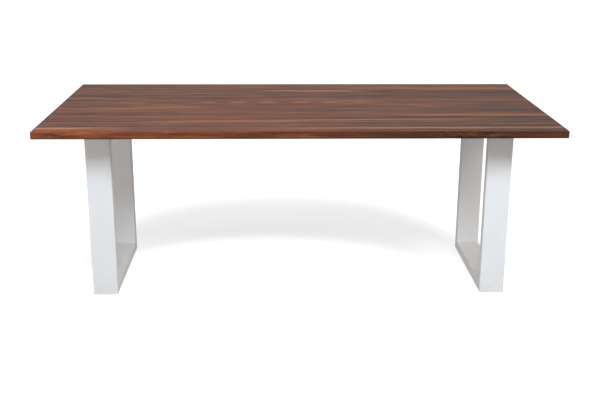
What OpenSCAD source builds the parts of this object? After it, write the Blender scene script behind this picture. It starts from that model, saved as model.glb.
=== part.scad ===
// Dining table: a solid walnut top glued up from full-length staves, on two white
// rectangular-tube leg frames.
// X runs along the length, Y from the front edge to the back edge, Z up.
// The origin is on the floor, under the middle of the top.

/* [Table] */
// Height from the floor to the upper face of the top
table_height = 740; // [700:5:780]

/* [Top] */
// Length of the top, along the grain
top_length = 2000; // [1600:10:2400]
// Depth of the top, across the grain
top_depth = 1000; // [900:10:1100]
// Thickness of the top
top_thickness = 28; // [26:1:45]
// Radius that eases the outer arrises of the top
arris_radius = 1.5; // [0.5:0.5:3]

/* [Legs] */
// Distance from each end of the top in to the outer face of its leg
leg_inset = 150; // [80:10:300]
// Size of a leg frame from its front face to its back face
leg_depth = 560; // [500:10:760]
// Wide side of the leg tube, along X
tube_width = 100; // [90:5:120]
// Narrow side of the leg tube
tube_thickness = 40; // [30:5:50]
// Wall of the leg tube
tube_wall = 3; // [2:0.5:3.5]
// Outer corner radius of the leg tube
tube_radius = 4; // [4:0.5:6]

/* [Mounting plates] */
// Thickness of the plate welded across the tops of the uprights
plate_thickness = 6; // [5:1:10]
// Width of the plate's slots, along the grain
slot_width = 9; // [8.6:0.2:10]
// End-to-end length of the slots, across the grain
slot_length = 22; // [16:1:22]
// Distance between the two rows of slots
bolt_pitch_x = 60; // [50:2:64]
// Distance from the middle of the plate to its inner slots
bolt_inner_y = 60; // [40:5:80]
// Distance from the middle of the plate to its outer slots
bolt_outer_y = 200; // [120:5:200]

/* [Fasteners] */
// Nominal diameter of the bolts
bolt_diameter = 8; // [6:1:8]
// Length of the bolts under the head
bolt_length = 25; // [20:1:25]
// Outside diameter of the threaded inserts
insert_diameter = 12; // [11:0.5:14]
// Length of the threaded inserts
insert_length = 18; // [14:1:20]

/* [Glides] */
// How far the glides hold the leg frames off the floor
glide_height = 2; // [1:0.5:5]
// Diameter of the glides
glide_diameter = 40; // [20:2:60]

/* [Hidden] */
// Widths of the staves in proportion, from the front edge to the back edge
STAVE_SHARES = [75, 155, 115, 165, 165, 170, 155];
STAVE_COLORS = ["#6b4531", "#7a5440", "#76503b", "#7d5643", "#75503e", "#7a5442", "#7b5643"];
LEG_WHITE = "#eceff1";
ZINC = "#c3c6c9";
BRASS = "#b99a55";
NYLON = "#e6e6e2";

SIDES = ["left", "right"];
LEG_PARTS = ["front_upright", "back_upright", "foot_bar", "mounting_plate",
             "front_glide", "back_glide", "bolts", "washers", "inserts"];
stave_count = len(STAVE_SHARES);

function sum_to(list, n) = n == 0 ? 0 : list[n - 1] + sum_to(list, n - 1);
function stave_edge(n) =
    top_depth * (sum_to(STAVE_SHARES, n) / sum_to(STAVE_SHARES, stave_count) - 0.5);

round_fn = 64;
top_under = table_height - top_thickness;
plate_under = top_under - plate_thickness;
leg_x = top_length / 2 - leg_inset - tube_width / 2;
half_leg = leg_depth / 2;
foot_top = glide_height + tube_thickness;
// Cutting bodies run past the tube by this much, so that no two faces coincide
overrun = 10;

// Gap between a bolt and its insert, and between an insert and its hole
thread_gap = 0.05;
pilot_depth = insert_length + 2;

washer_diameter = 24;
washer_thickness = 2;
washer_gap = 0.4;
head_diameter = 14;
head_height = 4.4;
head_top_diameter = 7;
socket_size = 5;
socket_depth = 2.6;

glide_edge = 0.5;
glide_y = half_leg - 45;
stem_diameter = 8;
stem_length = 12;
stem_gap = 0.1;

// Rectangle of width by depth with its corners rounded to the radius
module rounded_rect(width, depth, radius) {
    square([width - 2 * radius, depth], center = true);
    square([width, depth - 2 * radius], center = true);
    for (sx = [-1, 1]) for (sy = [-1, 1])
        translate([sx * (width / 2 - radius), sy * (depth / 2 - radius)])
            circle(r = radius, $fn = round_fn);
}

// Cross-section of the leg tube
module tube_section() {
    difference() {
        rounded_rect(tube_width, tube_thickness, tube_radius);
        rounded_rect(tube_width - 2 * tube_wall, tube_thickness - 2 * tube_wall,
                     max(tube_radius - tube_wall, 0.5));
    }
}

// Prism along X with the given outline in the YZ plane
module yz_prism(points, width) {
    rotate([90, 0, 90])
        linear_extrude(width, center = true)
            polygon(points);
}

// Puts a copy of the child at each bolt position of one plate
module at_bolts() {
    for (sx = [-1, 1]) for (y = [-bolt_outer_y, -bolt_inner_y, bolt_inner_y, bolt_outer_y])
        translate([sx * bolt_pitch_x / 2, y, 0])
            children();
}

// The whole top about its own middle, with an eased arris all round, before it is parted into staves
module top_blank() {
    intersection() {
        rotate([90, 0, 0])
            linear_extrude(top_depth, center = true)
                rounded_rect(top_length, top_thickness, arris_radius);
        rotate([90, 0, 90])
            linear_extrude(top_length, center = true)
                rounded_rect(top_depth, top_thickness, arris_radius);
    }
}

// One stave of the top, counted from the front edge, with its blind insert holes
module top_stave(i) {
    y0 = stave_edge(i) - (i == 0 ? overrun : 0);
    y1 = stave_edge(i + 1) + (i == stave_count - 1 ? overrun : 0);
    color(STAVE_COLORS[i])
        difference() {
            intersection() {
                translate([0, 0, top_under + top_thickness / 2])
                    top_blank();
                translate([-top_length / 2 - overrun, y0, top_under - overrun])
                    cube([top_length + 2 * overrun, y1 - y0, top_thickness + 2 * overrun]);
            }
            for (side = [-1, 1])
                translate([side * leg_x, 0, top_under - overrun])
                    at_bolts()
                        cylinder(d = insert_diameter + 2 * thread_gap,
                                 h = pilot_depth + overrun, $fn = round_fn);
        }
}

// Front upright: a tube mitred at the foot and square under the plate
module front_upright() {
    color(LEG_WHITE)
        intersection() {
            translate([0, -half_leg + tube_thickness / 2, 0])
                linear_extrude(plate_under + overrun)
                    tube_section();
            yz_prism([[-half_leg - overrun, glide_height - overrun],
                      [-half_leg + tube_thickness + overrun, foot_top + overrun],
                      [-half_leg + tube_thickness + overrun, plate_under],
                      [-half_leg - overrun, plate_under]],
                     tube_width + 2 * overrun);
        }
}

// Back upright: the front upright mirrored
module back_upright() {
    mirror([0, 1, 0])
        front_upright();
}

// Foot bar: a tube lying on its wide side, mitred at both ends
module foot_bar() {
    color(LEG_WHITE)
        difference() {
            intersection() {
                translate([0, 0, glide_height + tube_thickness / 2])
                    rotate([90, 0, 0])
                        linear_extrude(leg_depth + 2 * overrun, center = true)
                            tube_section();
                yz_prism([[-half_leg - overrun, glide_height - overrun],
                          [half_leg + overrun, glide_height - overrun],
                          [half_leg - tube_thickness - overrun, foot_top + overrun],
                          [-half_leg + tube_thickness + overrun, foot_top + overrun]],
                         tube_width + 2 * overrun);
            }
            for (sy = [-1, 1])
                translate([0, sy * glide_y, 0])
                    cylinder(d = stem_diameter + 2 * stem_gap,
                             h = glide_height + tube_wall + 1, $fn = round_fn);
        }
}

// Plate across the uprights, slotted so that the top can swell and shrink
module mounting_plate() {
    color(LEG_WHITE)
        translate([0, 0, plate_under])
            difference() {
                linear_extrude(plate_thickness)
                    rounded_rect(tube_width, leg_depth, tube_radius);
                at_bolts()
                    translate([0, 0, -1])
                        linear_extrude(plate_thickness + 2)
                            slot_outline();
            }
}

// Slot with round ends, long across the grain
module slot_outline() {
    reach = (slot_length - slot_width) / 2;
    square([slot_width, 2 * reach], center = true);
    for (sy = [-1, 1])
        translate([0, sy * reach])
            circle(d = slot_width, $fn = round_fn);
}

// Round nylon glide with a stem pressed up into the foot bar
module glide(sy) {
    rim = glide_diameter / 2;
    color(NYLON)
        translate([0, sy * glide_y, 0]) {
            rotate_extrude($fn = round_fn)
                polygon([[0, 0], [rim - glide_edge, 0], [rim, glide_edge],
                         [rim, glide_height], [0, glide_height]]);
            translate([0, 0, glide_height / 2])
                cylinder(d = stem_diameter, h = glide_height / 2 + stem_length, $fn = round_fn);
        }
}

// Button-head socket bolt, head down, with its thread left plain
module bolt() {
    head_r = head_diameter / 2;
    top_r = head_top_diameter / 2;
    centre = (top_r * top_r + head_height * head_height - head_r * head_r) / (2 * head_height);
    difference() {
        union() {
            cylinder(d = bolt_diameter, h = bolt_length, $fn = round_fn);
            mirror([0, 0, 1])
                rotate_extrude($fn = round_fn)
                    intersection() {
                        square([head_diameter, head_height]);
                        translate([0, centre])
                            circle(r = norm([head_r, centre]), $fn = round_fn);
                    }
        }
        translate([0, 0, -head_height - 1])
            cylinder(d = socket_size / cos(30), h = socket_depth + 1, $fn = 6);
    }
}

// The bolts of one leg
module bolts() {
    color(ZINC)
        translate([0, 0, plate_under - washer_thickness])
            at_bolts()
                bolt();
}

// The washers of one leg
module washers() {
    color(ZINC)
        translate([0, 0, plate_under - washer_thickness])
            at_bolts()
                difference() {
                    cylinder(d = washer_diameter, h = washer_thickness, $fn = round_fn);
                    translate([0, 0, -1])
                        cylinder(d = bolt_diameter + washer_gap, h = washer_thickness + 2,
                                 $fn = round_fn);
                }
}

// The threaded inserts of one leg, flush with the underside of the top
module inserts() {
    color(BRASS)
        translate([0, 0, top_under])
            at_bolts()
                difference() {
                    cylinder(d = insert_diameter, h = insert_length, $fn = round_fn);
                    translate([0, 0, -1])
                        cylinder(d = bolt_diameter + 2 * thread_gap, h = insert_length + 2,
                                 $fn = round_fn);
                }
}

// One named piece of a leg, about the middle of its plate
module leg_part(part) {
    if (part == "front_upright") front_upright();
    if (part == "back_upright") back_upright();
    if (part == "foot_bar") foot_bar();
    if (part == "mounting_plate") mounting_plate();
    if (part == "front_glide") glide(-1);
    if (part == "back_glide") glide(1);
    if (part == "bolts") bolts();
    if (part == "washers") washers();
    if (part == "inserts") inserts();
}

// One named piece of the left or the right leg, in its place
module placed_leg_part(side, part) {
    translate([side == "left" ? -leg_x : leg_x, 0, 0])
        leg_part(part);
}

for (i = [0 : stave_count - 1])
    top_stave(i);

for (side = SIDES) for (part = LEG_PARTS)
    placed_leg_part(side, part);
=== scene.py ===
"""Looks of the walnut table: materials, welds, floor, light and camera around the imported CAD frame."""

import math

import bmesh
import bpy
from mathutils import Matrix, Vector


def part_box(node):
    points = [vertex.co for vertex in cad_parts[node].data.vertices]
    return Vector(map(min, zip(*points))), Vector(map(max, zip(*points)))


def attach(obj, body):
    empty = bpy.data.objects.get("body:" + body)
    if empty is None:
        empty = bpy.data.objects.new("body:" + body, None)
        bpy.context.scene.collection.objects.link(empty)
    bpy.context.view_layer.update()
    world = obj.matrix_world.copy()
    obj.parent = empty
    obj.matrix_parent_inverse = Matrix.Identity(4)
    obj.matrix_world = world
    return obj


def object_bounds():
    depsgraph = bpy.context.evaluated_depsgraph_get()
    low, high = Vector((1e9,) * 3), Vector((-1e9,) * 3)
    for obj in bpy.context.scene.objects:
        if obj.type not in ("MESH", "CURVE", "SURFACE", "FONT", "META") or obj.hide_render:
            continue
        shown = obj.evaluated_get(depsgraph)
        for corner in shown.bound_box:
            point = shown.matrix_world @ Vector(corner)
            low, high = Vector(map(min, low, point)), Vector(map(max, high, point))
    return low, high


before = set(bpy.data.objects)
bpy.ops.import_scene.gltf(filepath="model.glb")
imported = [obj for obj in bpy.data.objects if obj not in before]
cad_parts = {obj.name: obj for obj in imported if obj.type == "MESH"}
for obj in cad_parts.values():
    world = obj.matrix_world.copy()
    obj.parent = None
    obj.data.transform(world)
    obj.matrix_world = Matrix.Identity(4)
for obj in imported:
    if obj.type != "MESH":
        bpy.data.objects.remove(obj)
cad_low, cad_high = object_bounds()

# ---------------------------------------------------------------- sizes from the frame
TOP_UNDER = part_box("top_stave_1")[0].z
TOP_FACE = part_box("top_stave_1")[1].z
FRONT_EDGE = cad_low.y
STAVES = sorted(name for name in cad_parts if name.startswith("top_stave_"))
SIDES = ("left", "right")


def leg_box(side, part):
    """Lowest and highest corner of one named piece of a leg."""
    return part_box(f"{side}_leg_{part}")


foot_low, foot_high = leg_box("left", "foot_bar")
LEG_FRONT, LEG_BACK = foot_low.y, foot_high.y
FOOT_UNDER, FOOT_TOP = foot_low.z, foot_high.z
TUBE = FOOT_TOP - FOOT_UNDER
PLATE_UNDER = leg_box("left", "mounting_plate")[0].z
# Radius that eases the top's outer arrises, which the boxes of the frame don't give
ARRIS = 0.0015


# ---------------------------------------------------------------- node helpers
# Nearly all values of a noise lie in this range
NOISE_RANGE = (0.3, 0.7)


def srgb(code):
    """Linear RGBA of a #rrggbb colour."""
    channels = [int(code[i : i + 2], 16) / 255 for i in (1, 3, 5)]
    return (*[c / 12.92 if c <= 0.04045 else ((c + 0.055) / 1.055) ** 2.4 for c in channels], 1.0)


class Tree:
    """A node tree with short calls. A value is a number, a tuple or another node's output."""

    def __init__(self, tree):
        self.tree = tree

    def put(self, socket, value):
        if isinstance(value, bpy.types.NodeSocket):
            self.tree.links.new(value, socket)
        else:
            socket.default_value = value

    def node(self, kind, inputs=(), **settings):
        made = self.tree.nodes.new("ShaderNode" + kind)
        for name, value in settings.items():
            setattr(made, name, value)
        for key, value in dict(inputs).items():
            self.put(made.inputs[key], value)
        return made

    def place(self):
        """The point that is shaded, in the object's own space, which is the frame's."""
        return self.node("TexCoord").outputs["Object"]

    def math(self, operation, a, b=0.0, c=0.0):
        return self.node("Math", {0: a, 1: b, 2: c}, operation=operation).outputs[0]

    def centred(self, noise):
        """Noise about 0 instead of about 0.5."""
        return self.math("SUBTRACT", noise, 0.5)

    def vector(self, operation, a, b):
        return self.node("VectorMath", {0: a, 1: b}, operation=operation).outputs[0]

    def scaled(self, vector, factor):
        return self.node("VectorMath", {0: vector, "Scale": factor}, operation="SCALE").outputs[0]

    def length(self, vector):
        return self.node("VectorMath", {0: vector}, operation="LENGTH").outputs["Value"]

    def mix(self, factor, a, b, blend="MIX"):
        """Mix of two colours, which are sockets 6 and 7 of the node."""
        made = self.node("Mix", {0: factor, 6: a, 7: b}, data_type="RGBA", blend_type=blend)
        return made.outputs[2]

    def combine(self, x, y, z):
        return self.node("CombineXYZ", {0: x, 1: y, 2: z}).outputs[0]

    def separate(self, vector):
        return self.node("SeparateXYZ", {0: vector}).outputs

    def noise(self, vector, scale=1.0, detail=2.0, roughness=0.5, colour=False):
        inputs = {"Vector": vector, "Scale": scale, "Detail": detail, "Roughness": roughness}
        return self.node("TexNoise", inputs).outputs["Color" if colour else 0]

    def noise_1d(self, value, detail=2.0, roughness=0.5):
        inputs = {"W": value, "Scale": 1.0, "Detail": detail, "Roughness": roughness}
        return self.node("TexNoise", inputs, noise_dimensions="1D").outputs[0]

    def remap(self, value, low, high, to_low=0.0, to_high=1.0):
        """Smooth step from to_low to to_high as value goes from low to high."""
        inputs = {0: value, 1: low, 2: high, 3: to_low, 4: to_high}
        return self.node("MapRange", inputs, interpolation_type="SMOOTHSTEP").outputs[0]

    def ramp(self, value, *stops):
        """Colour ramp through (position, colour) stops."""
        made = self.node("ValToRGB", {0: value})
        elements = made.color_ramp.elements
        while len(elements) < len(stops):
            elements.new(0.5)
        for element, (position, colour) in zip(elements, stops):
            element.position = position
            element.color = colour
        return made.outputs[0]

    def bump(self, height, strength, distance):
        inputs = {"Height": height, "Strength": strength, "Distance": distance}
        return self.node("Bump", inputs).outputs[0]


def new_material(name):
    """A node material, its Tree and its Principled shader."""
    material = bpy.data.materials.new(name)
    material.use_nodes = True
    shader = material.node_tree.nodes["Principled BSDF"]
    return material, Tree(material.node_tree), shader


def new_group(name, inputs, outputs):
    """A node group with float inputs, its Tree, and what it is given and what it returns."""
    group = bpy.data.node_groups.new(name, "ShaderNodeTree")
    for label in inputs:
        group.interface.new_socket(label, in_out="INPUT", socket_type="NodeSocketFloat")
    for label in outputs:
        group.interface.new_socket(label, in_out="OUTPUT", socket_type="NodeSocketFloat")
    given = group.nodes.new("NodeGroupInput").outputs
    result = group.nodes.new("NodeGroupOutput").inputs
    return group, Tree(group), given, result


# ---------------------------------------------------------------- walnut: the grain
# What each stave's rings are given, in the order of the columns of STAVE_RINGS
RING_LABELS = ("Pith Y", "Pith Depth", "Rise", "Drift", "Ring", "Wobble")
# Slow wander of the rings: frequency per metre along the stave and across it
WANDER_ALONG, WANDER_ACROSS = 1.1, 4.0
# Broad bands of colour to one growth ring
BANDS_PER_RING = 0.3
# Power by which a ring darkens towards its late wood
LATE_POWER = 3.0
# Early wood, as a share of the ring: its middle, and how far from it the early wood fades and ends
EARLY_MIDDLE, EARLY_CORE, EARLY_RIM = 0.4, 0.05, 0.38
# Patterns along the fibre: frequency per metre along it and across it, detail and roughness
FIBRE_PATTERNS = {
    "Hue": (1.2, 10.0, 3.0, 0.5),
    "Cloud": (2.4, 24.0, 4.0, 0.6),
    "Fibre": (5.0, 150.0, 4.0, 0.65),
    "Fine": (14.0, 700.0, 3.0, 0.6),
    "Pore": (80.0, 1400.0, 1.0, 0.5),
}
# Pore pattern at which a pore begins and at which it is deepest
PORE_RIM, PORE_CORE = 0.57, 0.66


def grain_group():
    """Solid walnut: growth rings round a pith line that runs along X near the stave, and the fibre.

    Pith Y and Pith Depth place the pith line, Depth down from the upper face. Rise and Drift
    tilt it along the stave, which draws cathedral figures on the faces that it nears.
    """
    outputs = ("Band", "Ring", "Early", *FIBRE_PATTERNS)
    group, t, given, result = new_group("walnut_grain", (*RING_LABELS, "Seed"), outputs)
    x, y, z = t.separate(t.place())
    seed = given["Seed"]

    slow_x = t.math("MULTIPLY", x, WANDER_ALONG)
    slow_y = t.math("MULTIPLY_ADD", y, WANDER_ACROSS, seed)
    slow_z = t.math("MULTIPLY", z, WANDER_ACROSS)
    wander = t.separate(t.noise(t.combine(slow_x, slow_y, slow_z), detail=3.0, colour=True))
    shift_y = t.math("MULTIPLY", t.centred(wander[0]), given["Wobble"])
    shift_z = t.math("MULTIPLY", t.centred(wander[1]), given["Wobble"])
    moved_y = t.math("ADD", y, shift_y)

    from_pith_y = t.math("SUBTRACT", moved_y, given["Pith Y"])
    from_pith_y = t.math("SUBTRACT", from_pith_y, t.math("MULTIPLY", x, given["Drift"]))
    below_face = t.math("ADD", t.math("SUBTRACT", z, TOP_FACE), shift_z)
    from_pith_z = t.math("MULTIPLY_ADD", x, given["Rise"], below_face)
    from_pith_z = t.math("ADD", from_pith_z, given["Pith Depth"])
    radius = t.length(t.combine(0.0, from_pith_y, from_pith_z))
    turns = t.math("DIVIDE", radius, given["Ring"])

    bands = t.math("MULTIPLY_ADD", turns, BANDS_PER_RING, seed)
    phase = t.math("FRACT", t.math("ADD", turns, seed))
    off_early = t.math("ABSOLUTE", t.math("SUBTRACT", phase, EARLY_MIDDLE))
    t.put(result["Band"], t.noise_1d(bands, detail=3.0, roughness=0.6))
    t.put(result["Ring"], t.math("POWER", phase, LATE_POWER))
    t.put(result["Early"], t.remap(off_early, EARLY_CORE, EARLY_RIM, 1.0, 0.0))

    for label, (along, across, detail, roughness) in FIBRE_PATTERNS.items():
        fibre_x = t.math("MULTIPLY_ADD", x, along, seed)
        fibre_y = t.math("MULTIPLY", moved_y, across)
        fibre_z = t.math("MULTIPLY", z, across)
        pattern = t.noise(t.combine(fibre_x, fibre_y, fibre_z), detail=detail, roughness=roughness)
        t.put(result[label], t.remap(pattern, PORE_RIM, PORE_CORE) if label == "Pore" else pattern)
    return group


# What each streak is given, in the order of the columns of STAVE_STREAKS
STREAK_LABELS = ("Y", "Half Width", "Slope", "Start", "End", "Fade")
# Bends of a streak: frequency per metre, how far Y moves it in the noise, and size in half widths
BEND_PITCH, BEND_SHIFT, BEND_SIZE = 2.4, 40.0, 1.6
# Share of a streak's width that is left at its very ends
TIP_WIDTH = 0.25
# Distance from the middle line, in half widths, at which a streak starts to fade and is gone
STREAK_CORE, STREAK_RIM = 0.15, 1.25
# Power by which a streak fades towards its ends
END_POWER = 0.6


def streak_group():
    """A band of colour along the grain: 1 on its middle line, fading to 0 at its sides and ends."""
    group, t, given, result = new_group("streak", (*STREAK_LABELS, "Fibre"), ("Mask",))
    x, y, _ = t.separate(t.place())
    half_width = given["Half Width"]
    into = t.remap(x, given["Start"], t.math("ADD", given["Start"], given["Fade"]))
    out_of = t.remap(x, t.math("SUBTRACT", given["End"], given["Fade"]), given["End"], 1.0, 0.0)
    ends = t.math("MULTIPLY", into, out_of)
    bend_at = t.math("MULTIPLY_ADD", x, BEND_PITCH, t.math("MULTIPLY", given["Y"], BEND_SHIFT))
    bend = t.centred(t.noise_1d(bend_at, detail=3.0))
    ragged = t.math("MULTIPLY_ADD", bend, BEND_SIZE, t.centred(given["Fibre"]))
    moved_y = t.math("MULTIPLY_ADD", ragged, half_width, y)
    middle = t.math("MULTIPLY_ADD", x, given["Slope"], given["Y"])
    off_middle = t.math("DIVIDE", t.math("ABSOLUTE", t.math("SUBTRACT", moved_y, middle)), half_width)
    narrowed = t.math("DIVIDE", off_middle, t.math("MULTIPLY_ADD", ends, 1.0 - TIP_WIDTH, TIP_WIDTH))
    side = t.remap(narrowed, STREAK_CORE, STREAK_RIM, 1.0, 0.0)
    t.put(result["Mask"], t.math("MULTIPLY", side, t.math("POWER", ends, END_POWER)))
    return group


GRAIN = grain_group()
STREAK = streak_group()

# ---------------------------------------------------------------- walnut: the staves
# Colours of the wood itself, under a clear oil finish
LATE_WOOD = srgb("#30160f")
HEART_DARK = srgb("#3e1c16")
HEART = srgb("#643323")
ROSE = srgb("#7b3f2b")
HEART_LIGHT = srgb("#975b3b")
SAPWOOD = srgb("#cc8148")
HONEY = srgb("#a96435")
INKY = srgb("#1c1214")
UMBER = srgb("#2c130e")
KNOT = srgb("#170b06")
OLIVE_CAST = (0.93, 1.07, 0.84, 1.0)
WOOD_TINT = (1.015, 1.045, 0.985)

# Rings of each stave from the front edge to the back, in metres, with Rise and Drift as slopes:
# pith Y from the stave's own middle, pith depth, rise, drift, width of a ring, wobble
STAVE_RINGS = [
    (-0.050, 0.012, 0.004, 0.010, 0.0055, 0.016),
    (0.160, 0.090, -0.010, 0.020, 0.0060, 0.020),
    (-0.120, -0.030, 0.008, -0.012, 0.0050, 0.014),
    (0.040, 0.120, 0.020, 0.015, 0.0058, 0.024),
    (-0.032, 0.070, -0.050, 0.0, 0.0062, 0.008),
    (-0.150, 0.060, 0.010, -0.020, 0.0060, 0.022),
    (0.100, 0.110, 0.014, 0.018, 0.0064, 0.026),
]
# Where in the noise a stave's grain is read: the first one's place and the step to the next one's
SEED_FIRST, SEED_STEP = 1.3, 3.7
# Brightness of each stave at its left and right end
STAVE_TONE = [
    (1.42, 0.84), (1.12, 0.69), (1.14, 0.74), (1.10, 0.66), (1.09, 0.84), (1.06, 0.76), (1.14, 0.98),
]

# Streaks that stand out in each stave, one over the other, in metres:
# colour, strength, Y of the middle line at X 0, half width, slope, start and end along X, fade
STAVE_STREAKS = [
    [
        (SAPWOOD, 0.75, -0.434, 0.022, 0.0, -1.8, -0.62, 0.30),
        (SAPWOOD, 0.78, -0.434, 0.016, 0.002, -0.25, 1.8, 0.75),
        (UMBER, 0.80, -0.468, 0.011, 0.004, 0.0, 1.6, 0.25),
        (UMBER, 0.55, -0.489, 0.008, 0.0, -0.3, 1.5, 0.25),
    ],
    [
        (SAPWOOD, 0.60, -0.302, 0.015, 0.030, -0.75, 0.85, 0.35),
        (UMBER, 0.75, -0.402, 0.026, 0.0, 0.15, 1.8, 0.55),
        (ROSE, 0.60, -0.355, 0.030, 0.0, -1.5, 0.20, 0.45),
        (UMBER, 0.45, -0.385, 0.018, 0.0, -1.1, -0.25, 0.25),
        (INKY, 0.70, -0.315, 0.060, 0.0, 0.68, 2.0, 0.50),
    ],
    [
        (SAPWOOD, 0.62, -0.203, 0.021, 0.0, 0.15, 1.8, 0.45),
        (INKY, 1.00, -0.251, 0.028, 0.0, -0.15, 1.8, 0.60),
        (INKY, 0.90, -0.174, 0.012, 0.0, -1.5, -0.52, 0.30),
    ],
    [
        (INKY, 0.85, -0.125, 0.055, 0.0, 0.20, 2.2, 0.95),
        (HONEY, 0.30, -0.060, 0.030, 0.0, -1.3, -0.20, 0.40),
        (ROSE, 0.50, -0.110, 0.045, 0.0, -1.4, 0.10, 0.50),
        (UMBER, 0.40, -0.045, 0.022, 0.0, 0.00, 0.80, 0.35),
    ],
    [
        (HEART_LIGHT, 0.70, 0.143, 0.028, 0.0, -1.5, -0.60, 0.30),
        (INKY, 0.70, 0.088, 0.022, 0.0, -1.5, -0.60, 0.30),
        (HONEY, 0.45, 0.058, 0.030, 0.0, 0.05, 0.45, 0.14),
        (INKY, 0.50, 0.070, 0.014, 0.0, 0.30, 1.1, 0.20),
        (ROSE, 0.50, 0.125, 0.025, 0.0, 0.15, 1.3, 0.30),
        (UMBER, 0.40, 0.160, 0.014, 0.0, -0.5, 1.3, 0.40),
    ],
    [
        (SAPWOOD, 0.80, 0.319, 0.021, 0.006, -0.22, 0.35, 0.16),
        (UMBER, 0.70, 0.284, 0.012, 0.0, -0.22, 0.36, 0.15),
        (INKY, 1.00, 0.290, 0.050, 0.0, 0.28, 1.8, 0.50),
        (INKY, 0.70, 0.203, 0.034, 0.0, -1.5, -0.35, 0.50),
        (UMBER, 0.45, 0.186, 0.014, 0.0, -0.6, 1.5, 0.40),
    ],
    [
        (HONEY, 0.66, 0.392, 0.046, -0.02, 0.0, 2.0, 0.70),
        (INKY, 0.65, 0.378, 0.016, 0.0, -0.05, 0.30, 0.12),
        (UMBER, 0.50, 0.470, 0.022, 0.0, 0.1, 0.8, 0.30),
        (UMBER, 0.70, 0.494, 0.012, 0.0, -1.4, 1.4, 0.10),
        (UMBER, 0.35, 0.440, 0.040, 0.0, -1.5, -0.2, 0.50),
    ],
]
# Where a cathedral figure shows: the last six columns of STAVE_STREAKS
STAVE_FIGURES = {"top_stave_5": (0.060, 0.030, 0.0, -0.50, 0.36, 0.14)}
# Knots: middle and half size along X, Y and Z in metres, and strength
STAVE_KNOTS = {
    "top_stave_1": [((-0.845, FRONT_EDGE, 0.725), (0.010, 0.02, 0.004), 0.6)],
    "top_stave_2": [
        ((-0.825, -0.333, TOP_FACE), (0.022, 0.009, 0.02), 0.8),
        ((-0.117, -0.375, TOP_FACE), (0.009, 0.005, 0.01), 0.7),
        ((0.525, -0.333, TOP_FACE), (0.014, 0.006, 0.01), 0.7),
    ],
}
# Shares of a knot's half size at which it starts to fade and is gone
KNOT_CORE, KNOT_RIM = 0.4, 1.1

# Share of each pattern in how pale the wood is, and the colours from dark to pale
BAND_SHARE, CLOUD_SHARE, FIBRE_SHARE, FINE_SHARE = 0.40, 0.28, 0.32, 0.18
WOOD_RAMP = ((0.40, HEART_DARK), (0.48, HEART), (0.54, ROSE), (0.60, HEART_LIGHT))
# Strength of the late wood, of the pores, and of a figure's dark and pale wood
LATE_STRENGTH, PORE_STRENGTH, FIGURE_DARK, FIGURE_PALE = 0.30, 0.55, 0.35, 0.75
# Hue pattern at which the olive cast begins and is full, and its strength there
CAST_FROM, CAST_TO, CAST_STRENGTH = 0.42, 0.60, 0.9
# Sum of fibre and cloud at which a streak starts to break up and is most broken, and what is left
# of it there
BREAK_FROM, BREAK_TO, BREAK_REST = 0.75, 1.2, 0.6

# Depth of the eased edge in which its looks fade in, from the outside
EDGE_FADE = (0.4 * ARRIS, 1.4 * ARRIS)
# Painted shade: a darker band beside the arrises, except in this strip along the front edge
ARRIS_FADE = (2.5 * ARRIS, 5.0 * ARRIS)
FRONT_STRIP = (FRONT_EDGE + 0.01, FRONT_EDGE + 0.02)
# Painted shade: darker lowest part of the edges, and how dark this and the arris band are
LOWER_FADE = (TOP_UNDER + ARRIS, TOP_UNDER + 2.5 * ARRIS)
EDGE_SHADE = 0.8
# End grain and glue lines: where they fade, and how dark they are
END_FADE, END_SHADE = (0.0003, 0.001), 0.3
GLUE_FADE, GLUE_SHADE = (0.0001, 0.0006), 0.55
# Front edge: the stretch of X along which its tint goes from the left one to the right one
EDGE_STRETCH = (-1.3, 0.25)
EDGE_LEFT, EDGE_RIGHT = (1.56, 1.56, 1.02, 1.0), (0.64, 0.54, 0.28, 1.0)
# Flame figure of the front edge: frequency along X and up Z, frequency and size of its swing
FLAME_ALONG, FLAME_UP, SWING_PITCH, SWING_SIZE = 9.0, 90.0, 7.0, 7.0
FLAME_RIM, FLAME_CORE, FLAME_STRENGTH = 0.42, 0.58, 0.95
# Its patches: X at which each begins, is full, starts to fade and is gone, and its strength
FLAME_PATCHES = ((0.30, 0.62, 0.70, 0.90, 1.0), (-0.99, -0.93, -0.90, -0.80, 0.7))

# Satin oil: index of refraction, roughness of dark and pale fibre, what the edges add to it, and
# the strength and the depth of its relief, in metres
OIL_IOR = 1.36
OIL_ROUGH, EDGE_ROUGHER = (0.50, 0.38), 0.2
OIL_RELIEF = (0.25, 0.0002)


def stave_grain(t, index, middle_y):
    """The grain patterns of one stave."""
    rings = dict(zip(RING_LABELS, STAVE_RINGS[index]))
    rings["Pith Y"] += middle_y
    return t.node("Group", {**rings, "Seed": SEED_STEP * index + SEED_FIRST}, node_tree=GRAIN).outputs


def streak_mask(t, grain, values):
    """Mask of one streak, from the last six columns of STAVE_STREAKS."""
    inputs = {"Fibre": grain["Fibre"], **dict(zip(STREAK_LABELS, values))}
    return t.node("Group", inputs, node_tree=STREAK).outputs["Mask"]


def knot_mask(t, centre, size, strength):
    """Strength inside a soft-edged ellipsoid, 0 outside."""
    away = t.length(t.vector("DIVIDE", t.vector("SUBTRACT", t.place(), centre), size))
    return t.remap(away, KNOT_CORE, KNOT_RIM, strength, 0.0)


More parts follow.
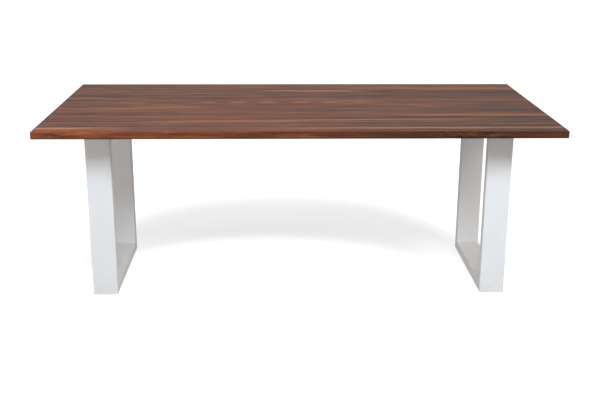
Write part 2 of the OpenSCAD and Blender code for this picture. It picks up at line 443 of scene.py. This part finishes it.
def heartwood(t, grain):
    """Colour of the plain wood: its patterns from dark to pale, the late wood and the olive cast."""
    pale = t.math("MULTIPLY", grain["Cloud"], CLOUD_SHARE)
    pale = t.math("MULTIPLY_ADD", grain["Band"], BAND_SHARE, pale)
    pale = t.math("MULTIPLY_ADD", grain["Fibre"], FIBRE_SHARE, pale)
    pale = t.math("MULTIPLY_ADD", t.centred(grain["Fine"]), FINE_SHARE, pale)
    colour = t.ramp(pale, *WOOD_RAMP)
    colour = t.mix(t.math("MULTIPLY", grain["Ring"], LATE_STRENGTH), colour, LATE_WOOD)
    cast = t.remap(grain["Hue"], CAST_FROM, CAST_TO, 0.0, CAST_STRENGTH)
    return t.mix(cast, colour, OLIVE_CAST, "MULTIPLY")


def figured_wood(t, grain, index, name):
    """The plain wood with the stave's streaks, its figure, its knots and the pores."""
    colour = heartwood(t, grain)
    roughened = t.math("ADD", grain["Fibre"], grain["Cloud"])
    for streak_colour, strength, *values in STAVE_STREAKS[index]:
        broken = t.remap(roughened, BREAK_FROM, BREAK_TO, strength, BREAK_REST * strength)
        factor = t.math("MULTIPLY", streak_mask(t, grain, values), broken)
        colour = t.mix(factor, colour, streak_colour)
    if name in STAVE_FIGURES:
        figure = streak_mask(t, grain, STAVE_FIGURES[name])
        pale = t.math("MULTIPLY", grain["Early"], FIGURE_PALE)
        colour = t.mix(t.math("MULTIPLY", figure, FIGURE_DARK), colour, HEART_DARK)
        colour = t.mix(t.math("MULTIPLY", figure, pale), colour, HONEY)
    for centre, size, strength in STAVE_KNOTS.get(name, ()):
        colour = t.mix(knot_mask(t, centre, size, strength), colour, KNOT)
    return t.mix(t.math("MULTIPLY", grain["Pore"], PORE_STRENGTH), colour, LATE_WOOD)


def flame_mask(t, x, z):
    """Wavy dark flame figure of the front edge, in patches along it."""
    swing = t.noise_1d(t.math("MULTIPLY", x, SWING_PITCH), detail=2.0)
    rows = t.math("MULTIPLY_ADD", z, FLAME_UP, t.math("MULTIPLY", swing, SWING_SIZE))
    along = t.math("MULTIPLY", x, FLAME_ALONG)
    lines = t.noise(t.combine(along, rows, 0.0), detail=4.0, roughness=0.6)
    lines = t.remap(lines, FLAME_RIM, FLAME_CORE, 0.0, FLAME_STRENGTH)
    right, left = (
        t.math("MULTIPLY", t.remap(x, begins, full), t.remap(x, fades, gone, strength, 0.0))
        for begins, full, fades, gone, strength in FLAME_PATCHES
    )
    return t.math("MULTIPLY", lines, t.math("ADD", right, left))


def front_edge(t, colour, x, y, z):
    """The front edge's flame figure, and its tint, which falls off to the right."""
    front = t.remap(y, *(FRONT_EDGE + depth for depth in EDGE_FADE), 1.0, 0.0)
    colour = t.mix(t.math("MULTIPLY", front, flame_mask(t, x, z)), colour, UMBER)
    tint = t.mix(t.remap(x, *EDGE_STRETCH), EDGE_LEFT, EDGE_RIGHT)
    return t.mix(front, colour, t.mix(1.0, colour, tint, "MULTIPLY"))


def shade(t, y, z, from_end, inset, on_edge, joints):
    """How much darker the wood is: painted shade at its arrises and lower edges, and its own darker end
    grain and glue lines.
    """
    # The arris band and the lower edges are painted shade; the end grain and glue lines are the wood's
    # own
    beside = t.remap(inset, *ARRIS_FADE, 1.0, 0.0)
    arris = t.math("MULTIPLY", beside, t.remap(y, *FRONT_STRIP))
    lower = t.math("MULTIPLY", on_edge, t.remap(z, *LOWER_FADE, 1.0, 0.0))
    dark = t.math("MULTIPLY", t.math("MAXIMUM", arris, lower), EDGE_SHADE)
    dark = t.math("MAXIMUM", dark, t.remap(from_end, *END_FADE, END_SHADE, 0.0))
    for joint in joints:
        from_joint = t.math("ABSOLUTE", t.math("SUBTRACT", y, joint))
        dark = t.math("MAXIMUM", dark, t.remap(from_joint, *GLUE_FADE, GLUE_SHADE, 0.0))
    return dark


def walnut(index, name):
    """The walnut of one stave: its figured wood, its edges and their painted shade, joints, tone and
    satin oil.
    """
    low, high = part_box(name)
    material, t, shader = new_material(f"walnut_{index + 1}")
    grain = stave_grain(t, index, (low.y + high.y) / 2)
    x, y, z = t.separate(t.place())
    from_end = t.math("SUBTRACT", cad_high.x, t.math("ABSOLUTE", x))
    from_side = t.math("SUBTRACT", cad_high.y, t.math("ABSOLUTE", y))
    inset = t.math("MINIMUM", from_end, from_side)
    on_edge = t.remap(inset, *EDGE_FADE, 1.0, 0.0)

    colour = figured_wood(t, grain, index, name)
    if index == 0:
        colour = front_edge(t, colour, x, y, z)
    joints = [joint for joint in (low.y, high.y) if abs(joint) < cad_high.y - ARRIS]
    # dark holds painted shade at the arrises and lower edges, with the real dark end grain and glue
    # lines
    dark = shade(t, y, z, from_end, inset, on_edge, joints)
    left, right = STAVE_TONE[index]
    tone = t.node("MapRange", {0: x, 1: cad_low.x, 2: cad_high.x, 3: left, 4: right}).outputs[0]
    toned = t.scaled(WOOD_TINT, t.math("MULTIPLY", tone, t.math("SUBTRACT", 1.0, dark)))
    t.put(shader.inputs["Base Color"], t.mix(1.0, colour, toned, "MULTIPLY"))

    shader.inputs["IOR"].default_value = OIL_IOR
    rough = t.remap(grain["Fibre"], *NOISE_RANGE, *OIL_ROUGH)
    t.put(shader.inputs["Roughness"], t.math("MULTIPLY_ADD", on_edge, EDGE_ROUGHER, rough))
    raised = t.math("MULTIPLY", t.math("ADD", grain["Fibre"], grain["Fine"]), 0.5)
    t.put(shader.inputs["Normal"], t.bump(t.math("SUBTRACT", raised, grain["Pore"]), *OIL_RELIEF))
    return material


# ---------------------------------------------------------------- metals and plastic
# Two-colour ramps of each finish, by noise
COAT_RAMP = ((0.3, srgb("#eef0f1")), (0.7, srgb("#f3f4f5")))
ZINC_RAMP = ((0.35, srgb("#b9bcc0")), (0.65, srgb("#cfc9b8")))
BRASS_RAMP = ((0.3, srgb("#a9863f")), (0.7, srgb("#cdac63")))
NYLON_RAMP = ((0.35, srgb("#bdbbb4")), (0.6, srgb("#dddcd7")))
# Frequency per metre of each noise. Turning marks and scratches differ along X, Y and Z
COAT_CLOUDS, COAT_PEEL, COAT_SCUFFS = 7.0, 420.0, 38.0
ZINC_TINT, ZINC_WEAR, ZINC_GRAIN = 60.0, 900.0, 1400.0
TURNING_MARKS = (60.0, 60.0, 2500.0)
NYLON_GRIT, SCRATCHES = 500.0, (900.0, 60.0, 60.0)
# Roughness at the low and the high end of the noise
ZINC_ROUGH, BRASS_ROUGH, NYLON_ROUGH = (0.24, 0.42), (0.28, 0.45), (0.45, 0.65)
# Strength and depth in metres of the bumps
COAT_BUMPS, ZINC_BUMPS = (0.2, 0.0004), (0.2, 0.0002)
BRASS_BUMPS, NYLON_BUMPS = (0.3, 0.0002), (0.25, 0.0002)
# Scuffs of the coat: how far up the feet they reach, and where in the noise they fade and are full
SCUFF_REACH, SCUFF_FADE = 0.07, (0.52, 0.72)
# Dust near the floor: its colour, how much lies everywhere, and how much more in the scuffs
FLOOR_DUST, DUST_PLAIN, DUST_SCUFF = srgb("#a9a297"), 0.04, 0.22
# Roughness of the coat, what its clouds add and what the dust adds
COAT_ROUGH, CLOUD_ROUGHER, DUST_ROUGHER = 0.36, 0.10, 0.4


def powder_coat():
    """White satin powder coat: fine orange peel, faint mottling, and scuffs where feet reach it."""
    material, t, shader = new_material("leg_powder_coat")
    place = t.place()
    _, _, z = t.separate(place)
    cloud = t.noise(place, scale=COAT_CLOUDS, detail=3.0)
    peel = t.noise(place, scale=COAT_PEEL, detail=2.0)
    near_floor = t.remap(z, FOOT_UNDER, FOOT_UNDER + SCUFF_REACH, 1.0, 0.0)
    scuff = t.remap(t.noise(place, scale=COAT_SCUFFS, detail=5.0, roughness=0.7), *SCUFF_FADE)
    dust = t.math("MULTIPLY", near_floor, t.math("MULTIPLY_ADD", scuff, DUST_SCUFF, DUST_PLAIN))
    rough = t.math("MULTIPLY_ADD", dust, DUST_ROUGHER, COAT_ROUGH)
    t.put(shader.inputs["Base Color"], t.mix(dust, t.ramp(cloud, *COAT_RAMP), FLOOR_DUST))
    t.put(shader.inputs["Roughness"], t.math("MULTIPLY_ADD", cloud, CLOUD_ROUGHER, rough))
    t.put(shader.inputs["Normal"], t.bump(peel, *COAT_BUMPS))
    return material


def plated_steel():
    """Bright zinc plating with a faint grain and slight yellow passivation."""
    material, t, shader = new_material("zinc_plated_steel")
    place = t.place()
    tint = t.noise(place, scale=ZINC_TINT, detail=3.0)
    worn = t.noise(place, scale=ZINC_WEAR, detail=2.0)
    fine = t.noise(place, scale=ZINC_GRAIN, detail=1.0)
    t.put(shader.inputs["Base Color"], t.ramp(tint, *ZINC_RAMP))
    shader.inputs["Metallic"].default_value = 1.0
    t.put(shader.inputs["Roughness"], t.remap(worn, *NOISE_RANGE, *ZINC_ROUGH))
    t.put(shader.inputs["Normal"], t.bump(fine, *ZINC_BUMPS))
    return material


def insert_brass():
    """Machined brass with fine turning marks along the insert's axis."""
    material, t, shader = new_material("insert_brass")
    turned = t.noise(t.vector("MULTIPLY", t.place(), TURNING_MARKS))
    t.put(shader.inputs["Base Color"], t.ramp(turned, *BRASS_RAMP))
    shader.inputs["Metallic"].default_value = 1.0
    t.put(shader.inputs["Roughness"], t.remap(turned, *NOISE_RANGE, *BRASS_ROUGH))
    t.put(shader.inputs["Normal"], t.bump(turned, *BRASS_BUMPS))
    return material


def nylon():
    """Off-white moulded nylon, a little scratched underneath."""
    material, t, shader = new_material("glide_nylon")
    place = t.place()
    grit = t.noise(place, scale=NYLON_GRIT, detail=3.0)
    scratch = t.noise(t.vector("MULTIPLY", place, SCRATCHES))
    t.put(shader.inputs["Base Color"], t.ramp(scratch, *NYLON_RAMP))
    t.put(shader.inputs["Roughness"], t.remap(grit, *NOISE_RANGE, *NYLON_ROUGH))
    t.put(shader.inputs["Normal"], t.bump(t.math("ADD", grit, scratch), *NYLON_BUMPS))
    return material


def coat_node(name, material):
    """Makes that material the only one of a CAD node."""
    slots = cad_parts[name].data.materials
    slots.clear()
    slots.append(material)


def dress_frame():
    """Materials of every CAD node. Returns the powder coat, which the welds share."""
    for index, name in enumerate(STAVES):
        coat_node(name, walnut(index, name))
    coat, steel, brass, plastic = powder_coat(), plated_steel(), insert_brass(), nylon()
    finish = {
        "front_upright": coat, "back_upright": coat, "foot_bar": coat, "mounting_plate": coat,
        "front_glide": plastic, "back_glide": plastic,
        "bolts": steel, "washers": steel, "inserts": brass,
    }
    for side in SIDES:
        for part, material in finish.items():
            coat_node(f"{side}_leg_{part}", material)
    return coat


# ---------------------------------------------------------------- welds
# Leg of a fillet, in metres
WELD_LEG = 0.004
# How far a weld stops short of each side of the tube
WELD_INSET = 0.005
# Cross-sections along a weld, and steps across the face of each
WELD_STATIONS, WELD_STEPS = 160, 6
# Distance from ripple to ripple, and their height as a share of the weld's leg
RIPPLE_PITCH, RIPPLE_SIZE = 0.0022, 0.04
# Share of its leg that a weld has at its very ends, and how fast it grows from there
WELD_TIP, WELD_GROWTH = 0.6, 30.0
# How hollow the weld's face is, where 1 is a full quarter circle
WELD_HOLLOW = 0.92


def weld_fillet(name, start, along, length, out_a, out_b, material):
    """A fillet weld in an inside corner, from start, with one leg towards out_a and one towards out_b.

    Its face is slightly hollow and rippled, as a dressed and coated weld is.
    """
    mesh = bpy.data.meshes.new(name)
    bm = bmesh.new()
    rows = []
    for i in range(WELD_STATIONS + 1):
        s = i / WELD_STATIONS
        ripple = 1.0 + RIPPLE_SIZE * math.sin(s * length / RIPPLE_PITCH * math.tau)
        leg = WELD_LEG * ripple * min(1.0, WELD_TIP + WELD_GROWTH * min(s, 1.0 - s))
        base = start + along * (length * s)
        row = [bm.verts.new(base)]
        for k in range(WELD_STEPS + 1):
            angle = k / WELD_STEPS * math.pi / 2
            reach_a = leg * (1.0 - math.sin(angle) * WELD_HOLLOW) if k < WELD_STEPS else 0.0
            reach_b = leg * (1.0 - math.cos(angle) * WELD_HOLLOW) if k > 0 else 0.0
            row.append(bm.verts.new(base + out_a * reach_a + out_b * reach_b))
        rows.append(row)
    for first, second in zip(rows, rows[1:]):
        ring = len(first)
        for k in range(ring):
            after = (k + 1) % ring
            bm.faces.new((first[k], first[after], second[after], second[k]))
    bm.faces.new(rows[0])
    bm.faces.new(rows[-1][::-1])
    bmesh.ops.recalc_face_normals(bm, faces=bm.faces)
    bm.to_mesh(mesh)
    bm.free()
    mesh.shade_smooth()
    mesh.materials.append(material)
    piece = bpy.data.objects.new(name, mesh)
    bpy.context.scene.collection.objects.link(piece)
    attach(piece, "root")


def add_welds(material):
    """Fillet welds across the inside corners of both leg frames, at the foot bar and under the plate."""
    right, inward, up = Vector((1, 0, 0)), Vector((0, 1, 0)), Vector((0, 0, 1))
    for side in SIDES:
        low, high = leg_box(side, "foot_bar")
        x = low.x + WELD_INSET
        length = high.x - low.x - 2 * WELD_INSET
        for end, y, out in (("front", LEG_FRONT + TUBE, inward), ("back", LEG_BACK - TUBE, -inward)):
            foot, head = Vector((x, y, FOOT_TOP)), Vector((x, y, PLATE_UNDER))
            weld_fillet(f"{side}_{end}_foot_weld", foot, right, length, out, up, material)
            weld_fillet(f"{side}_{end}_plate_weld", head, right, length, out, -up, material)


# ---------------------------------------------------------------- studio
WHITE = (1.0, 1.0, 1.0, 1.0)
# Half size of the floor, its grey, and the colour of its glow
FLOOR_REACH = 60.0
FLOOR_GREY = (0.44, 0.44, 0.44, 1.0)
FLOOR_TINT = (0.985, 1.0, 1.025, 1.0)
# Glow of the floor for the camera in the painted soft shadow and outside it, and for all other rays
GLOW_SHADOW, GLOW_PLAIN, GLOW_BOUNCE = 0.64, 0.95, 0.10
# The painted soft shadow behind the legs: an oval, its ends bent forward, less a second, painted lit
# oval.
# Each has its middle, its reach along X and Y, and the shares of the reach where it fades
SHADOW_MIDDLE, SHADOW_REACH, SHADOW_FADE = (-0.08, 0.62, 0.0), (1.02, 0.52), (0.6, 1.35)
SHADOW_BEND, BEND_POWER = 0.72, 4.0
LIT_MIDDLE, LIT_REACH, LIT_FADE = (-0.14, -0.04, 0.0), (0.59, 0.38), (0.8, 1.5)
# Light of the room: its warm colour, its strength everywhere, what the side walls add, what the
# neutral backdrop adds, and the powers by which these two fall off away from their directions
ROOM_WARM = (1.14, 0.98, 0.85)
ROOM_PLAIN, ROOM_WALLS, ROOM_BACKDROP = 0.20, 0.86, 0.39
WALLS_POWER, BACKDROP_POWER = 4.0, 2.0
# Softboxes: name, the point that each faces, azimuth and elevation in degrees, distance, width and
# height in metres, watts and colour. The key is high in front, where it puts the top's shadow on the
# front uprights, the fill is at the right, the side box low at the left, and the last over the top
FRONT_AIM, TOP_AIM = Vector((0.0, FRONT_EDGE, TOP_UNDER)), Vector((0.0, 0.0, TOP_FACE))
SOFTBOXES = [
    ("key", FRONT_AIM, 0.0, 37.0, 4.0, 2.4, 1.2, 94.0, (0.88, 1.0, 1.12)),
    ("fill", FRONT_AIM, 45.0, 32.0, 4.5, 1.6, 1.2, 56.0, (1.02, 1.0, 0.97)),
    ("side", FRONT_AIM, -76.0, 9.0, 4.5, 1.2, 1.0, 26.0, (1.0, 1.0, 0.98)),
    ("overhead", TOP_AIM, 0.0, 80.0, 3.5, 3.0, 2.0, 45.0, (1.0, 1.0, 1.0)),
]
# Camera: lens and sensor width in millimetres, place, and yaw, pitch down and roll in degrees
LENS, SENSOR_WIDTH = 56.4, 36.0
CAMERA_PLACE = (-0.0913, -3.8987, 1.5205)
CAMERA_TURNS = (-1.455, 17.09, -0.206)


def oval_distance(t, middle, reach, bend=0.0):
    """Distance from middle, in shares of reach. Bend brings an oval's ends forward."""
    x, y, _ = t.separate(t.vector("SUBTRACT", t.place(), middle))
    bent = t.math("MULTIPLY_ADD", t.math("POWER", t.math("ABSOLUTE", x), BEND_POWER), bend, y)
    return t.length(t.combine(t.math("DIVIDE", x, reach[0]), t.math("DIVIDE", bent, reach[1]), 0.0))


def floor_material():
    """White floor with its own glow and a painted soft shadow, clear from below."""
    material = bpy.data.materials.new("studio_floor")
    material.use_nodes = True
    t = Tree(material.node_tree)
    material.node_tree.nodes.clear()
    # The two ovals paint the table's soft shadow, and the lit patch under the table, into the floor's
    # glow
    away = oval_distance(t, SHADOW_MIDDLE, SHADOW_REACH, SHADOW_BEND)
    lit_away = oval_distance(t, LIT_MIDDLE, LIT_REACH)
    shadow = t.remap(away, *SHADOW_FADE, GLOW_SHADOW, GLOW_PLAIN)
    lit = t.remap(lit_away, *LIT_FADE, GLOW_PLAIN, GLOW_SHADOW)
    shown = t.math("MAXIMUM", shadow, lit)
    seen = t.node("LightPath").outputs["Is Camera Ray"]
    strength = t.math("MULTIPLY", seen, t.math("SUBTRACT", shown, GLOW_BOUNCE))
    strength = t.math("ADD", strength, GLOW_BOUNCE)
    glow = t.node("Emission", {"Color": FLOOR_TINT, "Strength": strength})
    matt = t.node("BsdfDiffuse", {"Color": FLOOR_GREY})
    solid = t.node("AddShader", {0: glow.outputs[0], 1: matt.outputs[0]})
    clear = t.node("BsdfTransparent")
    below = t.node("NewGeometry").outputs["Backfacing"]
    sided = t.node("MixShader", {0: below, 1: solid.outputs[0], 2: clear.outputs[0]})
    t.put(t.node("OutputMaterial").inputs["Surface"], sided.outputs[0])
    return material


def add_floor():
    """Plain white studio floor that runs out into the white of the backdrop."""
    mesh = bpy.data.meshes.new("studio_floor")
    r = FLOOR_REACH
    mesh.from_pydata([(-r, -r, 0), (r, -r, 0), (r, r, 0), (-r, r, 0)], [], [(0, 1, 2, 3)])
    mesh.materials.append(floor_material())
    floor = bpy.data.objects.new("studio_floor", mesh)
    bpy.context.scene.collection.objects.link(floor)


def add_sky():
    """White for the camera, and for all else the dimmer light of a room, most of it from its sides."""
    world = bpy.data.worlds.new("studio")
    bpy.context.scene.world = world
    world.use_nodes = True
    t = Tree(world.node_tree)
    world.node_tree.nodes.clear()
    seen = t.node("LightPath").outputs["Is Camera Ray"]
    x, y, _ = t.separate(t.node("TexCoord").outputs["Generated"])
    sideways = t.math("POWER", t.math("ABSOLUTE", x), WALLS_POWER)
    warm = t.scaled(ROOM_WARM, t.math("ADD", ROOM_PLAIN, t.math("MULTIPLY", sideways, ROOM_WALLS)))
    behind = t.math("POWER", t.math("MAXIMUM", y, 0.0), BACKDROP_POWER)
    backdrop = t.math("MULTIPLY", behind, ROOM_BACKDROP)
    light = t.vector("ADD", warm, t.combine(backdrop, backdrop, backdrop))
    background = t.node("Background", {"Color": t.mix(seen, light, WHITE)})
    t.put(t.node("OutputWorld").inputs["Surface"], background.outputs[0])


def add_softbox(name, aim, azimuth, elevation, distance, width, height, watts, colour):
    """An area light that faces aim. Azimuth 0 is in front, on the -Y side, and 90 is on the +X side."""
    a, e = math.radians(azimuth), math.radians(elevation)
    back = Vector((math.sin(a) * math.cos(e), -math.cos(a) * math.cos(e), math.sin(e)))
    data = bpy.data.lights.new(name, "AREA")
    data.shape = "RECTANGLE"
    data.size, data.size_y = width, height
    data.energy = watts
    data.color = colour
    light = bpy.data.objects.new(name, data)
    light.rotation_mode = "QUATERNION"
    light.location = aim + back * distance
    light.rotation_quaternion = (-back).to_track_quat("-Z", "Y")
    bpy.context.scene.collection.objects.link(light)


def add_camera():
    """The main view's camera: in front of the table, a little left of its middle, at standing height."""
    data = bpy.data.cameras.new("camera")
    data.sensor_width = SENSOR_WIDTH
    data.lens = LENS
    camera = bpy.data.objects.new("camera", data)
    yaw, pitch, roll = (math.radians(angle) for angle in CAMERA_TURNS)
    turn = Matrix.Rotation(yaw, 4, "Z") @ Matrix.Rotation(math.pi / 2 - pitch, 4, "X")
    turn = turn @ Matrix.Rotation(-roll, 4, "Z")
    camera.matrix_world = Matrix.Translation(CAMERA_PLACE) @ turn
    bpy.context.scene.collection.objects.link(camera)
    bpy.context.scene.camera = camera


add_camera()
add_welds(dress_frame())
add_floor()
add_sky()
for softbox in SOFTBOXES:
    add_softbox(*softbox)
bpy.context.scene.view_settings.view_transform = "Standard"
